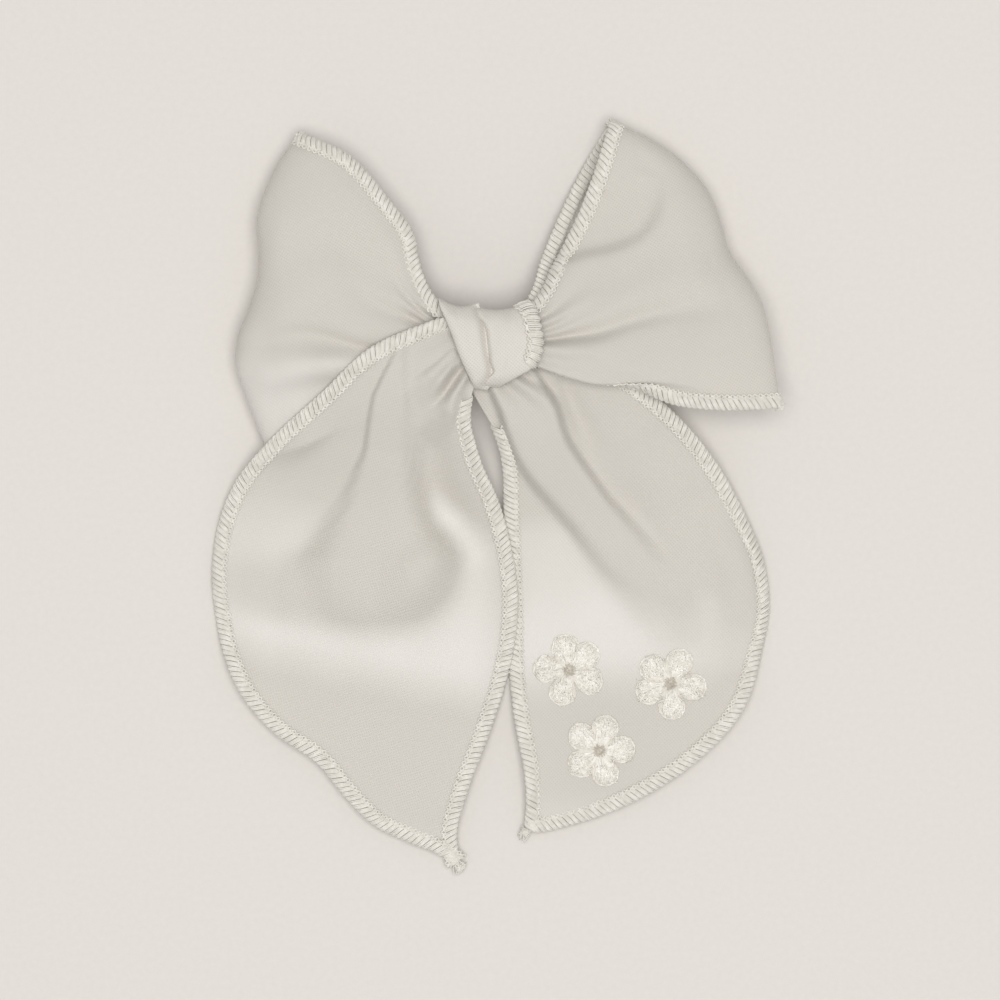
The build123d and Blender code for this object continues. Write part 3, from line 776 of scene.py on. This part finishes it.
def on_rail(rail, along, inward, height):
    """Points beside a rail, from how far along, inward and up each one is."""
    *ways, length = rail
    stops = np.linspace(0, length, len(ways[0]))
    spot, way_in, way_up = (sampled(way, stops, np.clip(along, 0, length)) for way in ways)
    points = spot + way_in * inward[..., None] + way_up * height[..., None]
    points[..., 2] = np.maximum(points[..., 2], THREAD_RADIUS + FLOOR_GAP)
    return points


def serge_threads(
    rail, pitch=SERGE_PITCH, width=SERGE_WIDTH, puff=1.0, start=0.0, slant=1.0, radius=THREAD_RADIUS
):
    """Overlock stitches along a rail: slanted bundles wrapped over the edge, with a chain of loops inside."""
    length = rail[3]
    stitches = int((length - start - pitch) / pitch)
    base = start + pitch / 2 + np.arange(stitches) * pitch + RANDOM.normal(0, 0.012, stitches) * pitch
    strand = (np.arange(SERGE_STRANDS) - (SERGE_STRANDS - 1) / 2) / SERGE_STRANDS
    # inward, up and along for each control point of a strand
    shape = np.array(
        [
            (width, -0.22, -0.7), (width * 0.55, -0.4, -0.5), (0.0, -0.34, -0.25), (-0.24, 0.0, 0.0),
            (0.0, 0.42, 0.2), (width * 0.5, 0.6, 0.75), (width, 0.24, 1.4),
        ]
    )
    controls = np.tile(shape, (stitches, SERGE_STRANDS, 1, 1))
    bulge = 1 - 4.0 * strand**2
    controls[..., 1] *= (0.6 + 0.4 * puff * bulge)[None, :, None] * RANDOM.uniform(0.9, 1.1, (stitches, 1, 1))
    controls[:, :, 2:5, 0] -= 0.26 * puff * (bulge - 0.6)[None, :, None]
    controls[..., 0] *= RANDOM.uniform(0.95, 1.05, (stitches, 1, 1))
    in_bundle = strand[None, :, None] * pitch * BUNDLE_SHARE
    along = base[:, None, None] + in_bundle + controls[..., 2] * pitch * slant
    inward = controls[..., 0] + RANDOM.normal(0, 0.03, (stitches, SERGE_STRANDS, len(shape)))
    points = on_rail(rail, along, inward, controls[..., 1])
    parts = [tube_mesh(rounded_paths(points.reshape(-1, len(shape), 3), 12), radius)]
    ticks = np.arange(start + pitch / 2, length - pitch / 2, pitch / 4)
    beat = np.arange(len(ticks)) % 4
    for inside, top, sway, thickness in ((width, 0.26, 0.3, 1.2), (width * 0.88, 0.34, -0.3, 1.0)):
        swing = np.array([-1, 0, 1, 0])[beat] * sway + RANDOM.normal(0, 0.02, len(ticks))
        lift = top + np.array([0, 0.14, 0, -0.1])[beat]
        path = on_rail(rail, ticks, inside + swing, lift)
        parts.append(tube_mesh(rounded_paths(path[None], len(ticks) * 2), radius * thickness))
    return joined(*parts)


def thread_tangle(centre, radius, threads):
    """A small knot of thread ends."""
    controls = RANDOM.normal(0, 0.42, (threads, 6, 3)) * radius * np.array([1, 1, 0.5]) + centre
    controls[..., 2] = np.maximum(controls[..., 2], FLOOR_GAP + 0.2)
    return tube_mesh(rounded_paths(controls, 16), THREAD_RADIUS * 0.85)


def serge_piece(name, rails, tangles=(), starts=(0.0, 0.0), **settings):
    """Overlock stitches along one or more rails, from how far along each they start, with knotted ends."""
    parts = [serge_threads(rail, start=start, **settings) for rail, start in zip(rails, starts)]
    parts += [thread_tangle(*tangle) for tangle in tangles]
    return new_piece(name, *joined(*parts), SERGE_THREAD)


# How far along each tail's two edges the serging starts
SERGE_STARTS = {"left": (0.0, 6.0), "right": (13.5, 0.0)}

for side, points in (("left", left_loop_points), ("right", right_loop_points)):
    loop = cloth_piece(f"{side}_loop_cloth", points, LOOP_CLOTH[side])
    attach(loop, "bow")
    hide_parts(f"{side}_loop_front", f"{side}_loop_back")
    for level, edge, column in (("lower", "first", 0), ("upper", "last", -1)):
        tip = (points[LOOP_ROWS // 2, column], 1.1, 14)
        band = serge_piece(f"{side}_loop_serged_{level}", [edge_rail(points, edge)], [tip])
        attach(band, "bow")
        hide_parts(f"{side}_loop_edge_{level}")

for side, points in (("left", left_tail_points), ("right", right_tail_points)):
    tail = cloth_piece(f"{side}_tail_cloth", points, TAIL_CLOTH[side])
    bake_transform(tail)
    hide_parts(f"{side}_tail", f"{side}_tail_gather")
    rails = [edge_rail(points, "first"), edge_rail(points, "last")]
    tip = (points[-1, 0], 1.3, 18)
    band = serge_piece(f"{side}_tail_serging", rails, [tip], SERGE_STARTS[side])
    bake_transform(band)
    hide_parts(f"{side}_tail_edge_stitch", f"{side}_tail_gather_edge_stitch")


# Knot

KNOT_DEPTH = 5.1
KNOT_BACK_DEPTH = 4.5
AROUND_KNOT = np.linspace(-math.pi, math.pi, 132, endpoint=False)
BAND_COLUMNS = 46


def knot_band(shape):
    """A wrap of the knot: a ring of cloth round it from front to back, between two lines down its front."""
    a, angle = np.meshgrid(np.linspace(0, 1, BAND_COLUMNS), AROUND_KNOT)
    down = (1 - np.sin(angle)) / 2
    left = smooth_line(shape["left"], 160)
    right = smooth_line(shape["right"], 160)
    plan = line_at(left, down) * (1 - a[..., None]) + line_at(right, down) * a[..., None]
    plan[..., 1] -= shape["top_dip"] * np.sin(math.pi * a) * (1 - smoothstep(0, 0.35, down))
    facing = np.cos(angle)
    depth = np.where(facing > 0, KNOT_DEPTH, KNOT_BACK_DEPTH) * np.sign(facing) * np.abs(facing) ** 0.75
    left_tuck, right_tuck = shape["tucks"]
    lowered = np.zeros_like(a)
    for tuck, from_edge in ((left_tuck, a), (right_tuck, 1 - a)):
        lowered += tuck * (1 - np.sqrt(1 - (1 - np.clip(from_edge / shape["round"], 0, 1)) ** 2))
    front = smoothstep(-0.1, 0.5, facing)
    x, y = plan[..., 0], plan[..., 1]
    z = KNOT_MIDDLE_Z + depth + shape["crown"] * np.sin(math.pi * a) * facing
    z = z - lowered * np.where(facing > 0, np.abs(facing) ** 0.5, 0)
    for fold in shape["folds"]:
        z = z + front * fold_height(x, y, fold)
    z = z + front * 0.07 * ripples(x, y, 3.2, shape["seed"])
    return np.dstack([plan, z])


LEFT_BAND = {
    "left": [(-10.2, 7.8), (-9.9, 6.4), (-8.8, 3.8), (-7.5, 0.6), (-6, -3.5), (-4.1, -7.6), (-2.9, -9.9)],
    "right": [(-2.2, 6.9), (-1.6, 5), (-0.5, 3.1), (0.6, -2.3), (1, -4.6), (1.2, -7.2), (-0.5, -10.3)],
    "top_dip": 1.2,
    "tucks": (0.9, 1.6),
    "round": 0.22,
    "crown": 0.35,
    "seed": 61,
    "folds": [
        ([(-7, 6), (-5.2, 1), (-3.2, -5)], (-0.35, -0.45, -0.1), (0.3, 0.3, 0.3), (0.7, 0.9), (0.7, 0.9)),
        (
            [(-2.6, 6.2), (-1.4, 3), (-0.6, -2.3), (0.2, -7), (-1.2, -10)],
            (-2.6, -2, -1.8, -2, -2), (0.5, 0.5, 0.5), (0.5, 0.5), (0.8, 0.8),
        ),
    ],
}
RIGHT_BAND = {
    "left": [
        (-2.9, 5.9), (-2.6, 4.6), (-1.5, 3.1), (-0.4, -2.3), (-0.1, -4.6), (0.6, -6.9), (-0.8, -8.4),
        (-1.2, -9.6),
    ],
    "right": [
        (7.6, 6.9), (8.8, 5.3), (9.7, 2), (10.1, -0.5), (9.7, -3.6), (8.5, -5.8), (5.4, -7.7), (1.9, -9.6),
    ],
    "top_dip": 0.9,
    "tucks": (2, 0.5),
    "round": 0.1,
    "crown": 0.7,
    "seed": 67,
    "folds": [
        ([(3.3, 6), (3.4, 3.4), (3.8, 0)], (-1.1, -0.5, 0), (0.15, 0.2, 0.3), (0.35, 0.6), (0.35, 0.6)),
        ([(-1.4, 5.6), (0.6, 2.6), (1.6, -3)], (-0.5, -0.3, 0), (0.4, 0.5, 0.5), (0.8, 0.9), (0.8, 0.9)),
        ([(3.4, -2), (2.6, -5.8), (1.4, -8.6)], (0, -0.45, -0.4), (0.3, 0.3, 0.3), (0.5, 0.6), (0.6, 0.8)),
        ([(6.2, 0), (5.4, -4), (3.4, -7.6)], (0, -0.3, -0.4), (0.3, 0.3, 0.3), (0.6, 0.7), (0.6, 0.7)),
    ],
}

for side, shape in (("left", LEFT_BAND), ("right", RIGHT_BAND)):
    points = knot_band(shape)
    band = cloth_piece(f"knot_{side}_fold_cloth", points, KNOT_CLOTH, closed=True)
    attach(band, "bow")
    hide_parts(f"knot_wrap_{side}_fold")
    if side == "right":
        shown = (AROUND_KNOT > -0.12 * math.pi) & (AROUND_KNOT < 0.72 * math.pi)
        rail = edge_rail(points[shown], "last")
        stitches = serge_piece(
            "knot_fold_serging", [rail], pitch=1.6, width=2.8, slant=0.15, puff=1.6, radius=0.19
        )
        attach(stitches, "bow")
        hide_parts("knot_wrap_edge_stitch")


CORE_LEFT, CORE_RIGHT = -8.6, 9.8
CORE_Y = -1.5
CORE_HALF_HEIGHT, CORE_HALF_DEPTH = 4.7, 2.7


def gathered_core():
    """The bunched cloth inside the knot: a lobed bundle with closed ends."""
    rows, columns = 40, 72
    around, along = np.meshgrid(np.linspace(0, 2 * math.pi, columns), np.linspace(0, 1, rows))
    swell = np.sin(math.pi * np.clip(along, 0.004, 0.996)) ** 0.3
    lobes = 1 - 0.09 * (0.5 + 0.5 * np.cos(11 * around + 2 * np.sin(2 * around)))
    x = CORE_LEFT + (CORE_RIGHT - CORE_LEFT) * along
    y = CORE_Y + CORE_HALF_HEIGHT * swell * lobes * np.sin(around)
    z = KNOT_MIDDLE_Z + CORE_HALF_DEPTH * swell * lobes * np.cos(around)
    first_end = list(range(columns - 1))
    last_end = [(rows - 1) * columns + k for k in first_end]
    faces = grid_faces(rows, columns) + [first_end[::-1], last_end]
    return np.dstack([x, y, z]).reshape(-1, 3), faces


core = new_piece("knot_gathered_core", *gathered_core(), KNOT_CLOTH)
core.modifiers.new("weld", "WELD").merge_threshold = 0.01 * MM
apply_modifiers(core)
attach(core, "bow")
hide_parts("knot_core")


# Flowers

FLOWERS = {
    "left": (15.8, -66, (100, 41, -27, -107, 176)),
    "right": (36, -68.6, (66, -9, -86, -161, 138)),
    "lower": (21.8, -82, (75, 3, -75, -145, 141)),
}
PETAL_OUT = 4.5
PETAL_RADIUS = 2.7
HUB_RADIUS = 3.0
EYELET_RADIUS = 0.75
FLOWER_THREAD_RADIUS = 0.11
right_tail_tree = surface_tree(right_tail_points)


def tail_top(x, y):
    """Height of the right tail's upper face at each point."""
    flat = []
    for px, py in zip(x.ravel(), y.ravel()):
        hit = right_tail_tree.ray_cast(Vector((px, py, OVERHEAD)), DOWN)[0]
        flat.append(hit.z if hit is not None else LOWEST_CLOTH)
    return np.array(flat).reshape(x.shape) + CLOTH_THICKNESS / 2


def petal_mound(dx, dy, centres):
    """Height of a flower over its cloth: rounded petals and a hub with a dimple."""
    height = 0.55 * np.sqrt(np.clip(1 - (np.hypot(dx, dy) / HUB_RADIUS) ** 2, 0, 1))
    for cx, cy in centres:
        reach = np.hypot(dx - cx, dy - cy) / PETAL_RADIUS
        height = np.maximum(height, 0.55 * np.clip(1 - reach**2.6, 0, 1) ** 0.6)
    return height * smoothstep(0.1, 1.7, np.hypot(dx, dy)) + 0.06


def flower_pad(cx, cy, centres):
    """The flower's body: a mounded patch with an eyelet, closed underneath."""
    out, back = 18, 6
    angles = np.linspace(0, 2 * math.pi, 150, endpoint=False)
    reach = np.full(len(angles), HUB_RADIUS * 0.86)
    for px, py in centres:
        along = px * np.cos(angles) + py * np.sin(angles)
        inside = PETAL_RADIUS**2 - (px**2 + py**2 - along**2)
        petal_reach = along + np.sqrt(np.clip(inside, 0, None))
        reach = np.where((inside > 0) & (along > 0), np.maximum(reach, petal_reach), reach)
    across = np.concatenate([np.linspace(0, 1, out) ** 0.8, np.linspace(1, 0, back)])
    radius = EYELET_RADIUS + (reach[:, None] - EYELET_RADIUS) * across[None, :]
    dx = radius * np.cos(angles)[:, None]
    dy = radius * np.sin(angles)[:, None]
    under = tail_top(cx + dx, cy + dy)
    z = under + petal_mound(dx, dy, centres)
    z[:, out:] = under[:, out:] + 0.01
    points = np.dstack([cx + dx, cy + dy, z])
    return points.reshape(-1, 3), grid_faces(*z.shape, closed=True)


def compass(angle):
    """A step of length 1 in that direction, or in each of several."""
    return np.stack([np.cos(angle), np.sin(angle)], axis=-1)


def flower_threads(cx, cy, centres, petals):
    """Satin stitches fanned over the petals, loose crossing threads and stitched rims."""
    controls = []
    for centre, direction in zip(centres, petals):
        heading = math.radians(direction)
        for _ in range(46):
            spread = RANDOM.uniform(-1, 1)
            out = RANDOM.uniform(1.1, 2.4)
            start = compass(heading + 0.5 * spread) * out
            end = centre + (PETAL_RADIUS - RANDOM.uniform(0.0, 0.6)) * compass(heading + 1.25 * spread)
            t = np.linspace(0, 1, 6)[:, None]
            path = start * (1 - t) + end * t + RANDOM.normal(0, 0.16, (6, 2))
            controls.append((path, 0.05 + 0.12 * RANDOM.random()))
        for _ in range(80):
            turn = RANDOM.uniform(0, math.pi)
            middle = centre + RANDOM.uniform(-0.72, 0.72, 2) * PETAL_RADIUS
            t = np.linspace(-1, 1, 6)[:, None] * RANDOM.uniform(0.35, 0.8)
            path = middle + t * compass(turn) + RANDOM.normal(0, 0.13, (6, 2))
            controls.append((path, 0.16 + 0.2 * RANDOM.random()))
        for _ in range(12):
            begin = heading + RANDOM.uniform(-1.9, 1.3)
            sweep = begin + np.linspace(0, 0.75, 6)
            radius = PETAL_RADIUS - 0.1 + RANDOM.normal(0, 0.1, 6)
            controls.append((centre + radius[:, None] * compass(sweep), 0.03))
    plan, lift = (np.array(values) for values in zip(*controls))
    dx, dy = plan[..., 0], plan[..., 1]
    arch = lift[:, None] * np.array([0.2, 0.9, 1.1, 1.1, 0.9, 0.3])
    z = tail_top(cx + dx, cy + dy) + petal_mound(dx, dy, centres) + arch
    paths = rounded_paths(np.dstack([cx + dx, cy + dy, z]), 11)
    return tube_mesh(paths, FLOWER_THREAD_RADIUS, sides=4)


def eyelet_threads(cx, cy):
    """Short threads drawn into the flower's middle."""
    angles = np.linspace(0, 2 * math.pi, 30, endpoint=False) + RANDOM.normal(0, 0.08, 30)
    reach = np.linspace(0.12, 1.35, 6)[None, :] * RANDOM.uniform(0.8, 1.1, (30, 1))
    dx = reach * np.cos(angles)[:, None] + RANDOM.normal(0, 0.04, reach.shape)
    dy = reach * np.sin(angles)[:, None] + RANDOM.normal(0, 0.04, reach.shape)
    z = tail_top(cx + dx, cy + dy) + 0.08 + 0.5 * smoothstep(0.3, 1.4, np.hypot(dx, dy))
    return tube_mesh(rounded_paths(np.dstack([cx + dx, cy + dy, z]), 10), FLOWER_THREAD_RADIUS, sides=4)


for side, (cx, cy, petals) in FLOWERS.items():
    centres = PETAL_OUT * compass(np.radians(petals))
    ground = new_piece(f"flower_{side}_ground", *flower_pad(cx, cy, centres), FLOWER_GROUND)
    stitches = flower_threads(cx, cy, centres, petals)
    petal_threads = new_piece(f"flower_{side}_petals", *stitches, FLOWER_THREAD)
    eyelet = new_piece(f"flower_{side}_eyelet", *eyelet_threads(cx, cy), EYELET_THREAD_PAINTED_SHADE)
    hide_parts(f"flower_patch_{side}")
    for piece in (ground, petal_threads, eyelet):
        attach(piece, "tails")


# Clip


def steel(name, colour, roughness, brushed):
    """Plated steel with fine rolling lines, a few dull patches and worn tone."""
    metal = Surface(name)
    lines = metal.noise(metal.mapped(0.0, (brushed, 1, 1)), 2500)
    patches = metal.noise(metal.mapped(), 180, 4.0)
    tone = metal.blended(metal.ranged(patches, 0.0, 1.0, 0.4, 0.7), colour, darker(colour, 0.82))
    metal.bump(lines, 0.00002, 0.35)
    metal.shade(Base_Color=tone, Roughness=metal.ranged(patches, roughness * 0.8, roughness * 1.35))
    metal.shade(Metallic=1.0)
    return metal.material


def grosgrain():
    """Ribbon with fine cross ribs."""
    ribbon = Surface("grosgrain ribbon")
    vector = ribbon.mapped()
    ribs = ribbon.wave(vector, "X", 0.0006, 0.3)
    fuzz = ribbon.noise(vector, 1500, 2.0)
    tone = ribbon.blended(ribbon.ranged(ribs, 0.0, 1.0, 0.2, 0.9), srgb(214, 206, 194), srgb(240, 235, 226))
    ribbon.bump(ribbon.arithmetic("ADD", ribs, fuzz), 0.0001, 0.7)
    ribbon.shade(Base_Color=tone, Roughness=ribbon.ranged(fuzz, 0.55, 0.75), Sheen_Weight=0.2)
    return ribbon.material


def hot_glue():
    """Set hot-melt glue: milky, waxy and softly uneven."""
    glue = Surface("set glue")
    cloud = glue.noise(glue.mapped(), 260)
    tone = glue.blended(glue.ranged(cloud, 0.0, 1.0, 0.3, 0.7), srgb(236, 230, 214), srgb(220, 212, 192))
    glue.bump(cloud, 0.0002, 0.5)
    glue.shade(Base_Color=tone, Roughness=glue.ranged(cloud, 0.28, 0.45))
    glue.shade(Coat_Weight=0.3, Subsurface_Weight=0.2, Subsurface_Scale=0.001)
    return glue.material


PRESSED_STEEL = steel("pressed steel", (0.62, 0.61, 0.59, 1), 0.32, 0.12)
BRIGHT_STEEL = steel("bright steel", (0.74, 0.73, 0.71, 1), 0.18, 1.0)

# The CAD nodes that stay take a finished material
for node_name, material in (
    ("clip_top_jaw", PRESSED_STEEL), ("clip_lower_jaw", PRESSED_STEEL), ("clip_hinge_pin", BRIGHT_STEEL),
    ("clip_ribbon_lining", grosgrain()),
):
    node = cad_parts[node_name]
    if not node.material_slots:
        node.data.materials.append(material)
    for material_slot in node.material_slots:
        material_slot.link = "OBJECT"
        material_slot.material = material

PIN_X, PIN_Z, CLIP_Y = -7.0, 5.4, -1.5
COIL_RADIUS, COIL_TURNS, COIL_PITCH, WIRE_RADIUS = 1.35, 4.5, 0.75, 0.3
SPRING_LEG_X = PIN_X - 9
UPPER_LEG_Z, LOWER_LEG_Z = 7.9, 2.2
coil_start_y, coil_end_y = (CLIP_Y + sign * COIL_TURNS * COIL_PITCH / 2 for sign in (1, -1))
coil_turn = np.linspace(0, COIL_TURNS * 2 * math.pi, 190)
coil_y = np.linspace(coil_start_y, coil_end_y, len(coil_turn))
coil = np.column_stack(
    [PIN_X - COIL_RADIUS * np.sin(coil_turn), coil_y, PIN_Z + COIL_RADIUS * np.cos(coil_turn)]
)
upper_leg = np.linspace((SPRING_LEG_X, coil_start_y, UPPER_LEG_Z), coil[0], 14)[:-1]
lower_leg = np.linspace(coil[-1], (SPRING_LEG_X, coil_end_y, LOWER_LEG_Z), 14)[1:]
spring_points, spring_faces = tube_mesh(np.vstack([upper_leg, coil, lower_leg])[None], WIRE_RADIUS, sides=10)
spring = new_piece("clip_coil_spring", spring_points, spring_faces, BRIGHT_STEEL)
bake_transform(spring)
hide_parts("clip_spring")

pad_low, pad_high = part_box("glue_pad")
GLUE_X = 0.7
GLUE_HALF_LENGTH, GLUE_HALF_WIDTH = 6.9, 3.6


def glue_blob():
    """Glue squeezed out between the clip's ribbon and the knot."""
    rows, columns = 90, 14
    around = np.linspace(0, 2 * math.pi, rows, endpoint=False)[:, None]
    rise = np.linspace(0, 1, columns)[None, :]
    bulge = 0.86 + 0.14 * np.sin(math.pi * rise) + 0.035 * np.sin(3 * around + 1) + 0.02 * np.sin(7 * around)
    x = GLUE_X + GLUE_HALF_LENGTH * bulge * np.cos(around)
    y = CLIP_Y + GLUE_HALF_WIDTH * bulge * np.sin(around)
    low, high = pad_low.z / MM, pad_high.z / MM
    z = (low + (high + 0.4 - low) * rise) * np.ones_like(around)
    underside = [k * columns for k in range(rows)]
    top = [k + columns - 1 for k in reversed(underside)]
    faces = grid_faces(rows, columns, closed=True) + [underside, top]
    return np.dstack([x, y, z]).reshape(-1, 3), faces


glue = new_piece("glue_blob", *glue_blob(), hot_glue())
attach(glue, "bow")
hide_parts("glue_pad")


# Floor, light and camera


def floor_material():
    """Smooth pale paper."""
    paper = Surface("pale paper")
    grain = paper.noise(paper.mapped(), 900)
    paper.bump(grain, 0.00001, 0.15)
    tone = paper.blended(paper.ranged(grain, 0.0, 1.0, 0.3, 0.7), srgb(215, 211, 206), srgb(218, 214, 209))
    paper.shade(Base_Color=tone, Roughness=0.8)
    return paper.material


FLOOR_HALF = 3.0
WARM_WHITE = (1.0, 0.99, 0.975)
floor_mesh = bpy.data.meshes.new("floor")
corners = [(x * FLOOR_HALF, y * FLOOR_HALF, 0) for x, y in ((-1, -1), (1, -1), (1, 1), (-1, 1))]
floor_mesh.from_pydata(corners, [], [(0, 1, 2, 3)])
floor_mesh.materials.append(floor_material())
floor = new_object("floor", floor_mesh)

world = bpy.data.worlds.new("soft room")
world.use_nodes = True
background = world.node_tree.nodes["Background"]
background.inputs["Color"].default_value = (*WARM_WHITE, 1)
background.inputs["Strength"].default_value = 0.4
bpy.context.scene.world = world

SOFTBOX_AT = Vector((0.05, -0.06, 1.9))
softbox_data = bpy.data.lights.new("softbox", "AREA")
softbox_data.shape = "DISK"
softbox_data.size = 1.1
softbox_data.energy = 27.6
softbox_data.color = WARM_WHITE
softbox = new_object("softbox", softbox_data)
softbox.location = SOFTBOX_AT
softbox.rotation_euler = (-SOFTBOX_AT).to_track_quat("-Z", "Y").to_euler()

CAMERA_HEIGHT = 1.2
VIEW_WIDTH = 0.2
VIEW_CENTRE = place((2, -32, 0))
camera_data = bpy.data.cameras.new("camera")
camera_data.lens = camera_data.sensor_width * CAMERA_HEIGHT / VIEW_WIDTH
camera_data.clip_start, camera_data.clip_end = 0.05, 20
camera = new_object("camera", camera_data)
camera.location = (VIEW_CENTRE[0], VIEW_CENTRE[1], CAMERA_HEIGHT)
bpy.context.scene.camera = camera
bpy.context.scene.view_settings.view_transform = "Standard"
